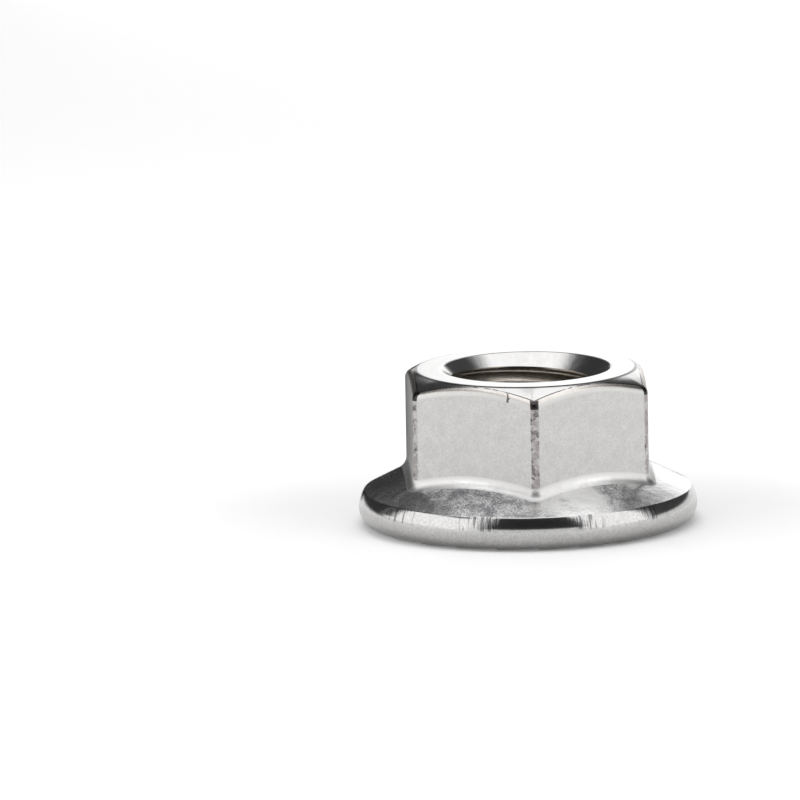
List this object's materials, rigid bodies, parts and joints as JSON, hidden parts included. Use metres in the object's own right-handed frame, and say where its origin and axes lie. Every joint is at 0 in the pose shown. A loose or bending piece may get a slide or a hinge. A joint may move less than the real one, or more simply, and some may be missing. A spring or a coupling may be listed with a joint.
{
  "type": "hex flange nut",
  "caption": "Hex nut on a round sloped flange, with a chamfered crown, a countersunk bore and curved locking serrations under the flange.",
  "frame": {"origin": "centre of the bore in the plane of the underside's plain ring, which the nut stands on", "axes": "+Z along the bore axis from the flange to the crown; +X through the middle of one spanner flat; a corner of the hexagon at -Y"},
  "size_m": [0.0216, 0.0216, 0.0099],
  "materials": {
    "stainless_steel": "bright cold-formed stainless steel, satin on the spanner flats and polished on the turned crown"
  },
  "bodies": {
    "root": {"hex_flange_nut": "stainless_steel"}
  },
  "joints": []
}
